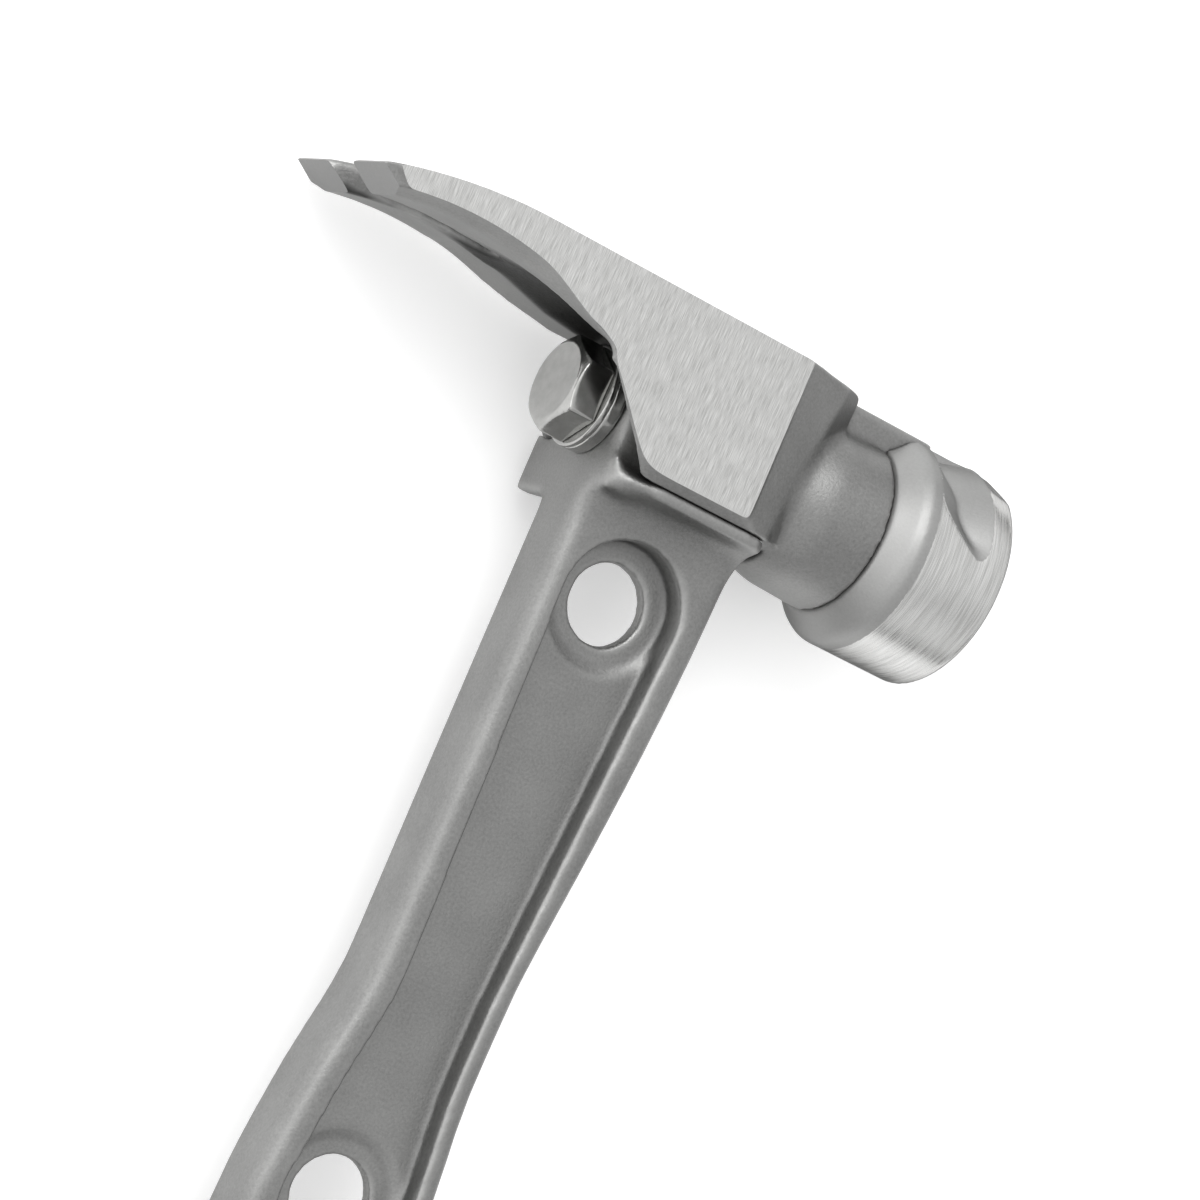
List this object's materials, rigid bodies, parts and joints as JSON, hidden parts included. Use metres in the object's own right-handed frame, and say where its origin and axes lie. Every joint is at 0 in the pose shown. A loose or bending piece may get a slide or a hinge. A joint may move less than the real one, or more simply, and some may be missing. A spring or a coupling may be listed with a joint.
{
  "type": "framing hammer",
  "caption": "Framing hammer with a cast titanium head bolted to a pierced titanium handle, a keyed replaceable steel face, a straight claw and a rubber grip.",
  "frame": {"origin": "centre of the bounding box on the floor, with the hammer lying on its side", "axes": "+X along the head towards the striking face, +Y up the handle towards the head, +Z across the thickness"},
  "size_m": [0.1138, 0.445, 0.033],
  "materials": {
    "cast_titanium": "cast titanium, brushed on the cheeks",
    "magnet": "nickel plated",
    "face_steel": "turned and brushed",
    "bolt_steel": "bright zinc plated",
    "spring_steel": "satin",
    "handle_titanium": "blasted cast titanium",
    "grip_rubber": "matt moulded rubber"
  },
  "bodies": {
    "head": {"claw_head": "cast_titanium", "nail_magnet": "magnet", "handle": "handle_titanium", "rubber_grip": "grip_rubber"},
    "washers": {"thin_washer": "bolt_steel", "spring_washer": "spring_steel"},
    "bolt": {"face_bolt": "bolt_steel"},
    "face": {"face_cap": "face_steel"}
  },
  "joints": [
    {"name": "washer_travel", "type": "slide", "parent": "head", "child": "washers", "axis": [-1, 0, 0], "range_m": [0, 0.0135]},
    {"name": "bolt_turn", "type": "hinge", "parent": "washers", "child": "bolt", "pos_m": [-0.01, 0.2057, 0.0165], "axis": [-1, 0, 0], "range_deg": [0, 3420]},
    {"name": "face_pull", "type": "slide", "parent": "head", "child": "face", "axis": [1, 0, 0], "range_m": [0, 0.03]}
  ],
  "couplings": [
    {"joint": "washer_travel", "follows": "bolt_turn", "m_per_rad": 0.00022458}
  ]
}
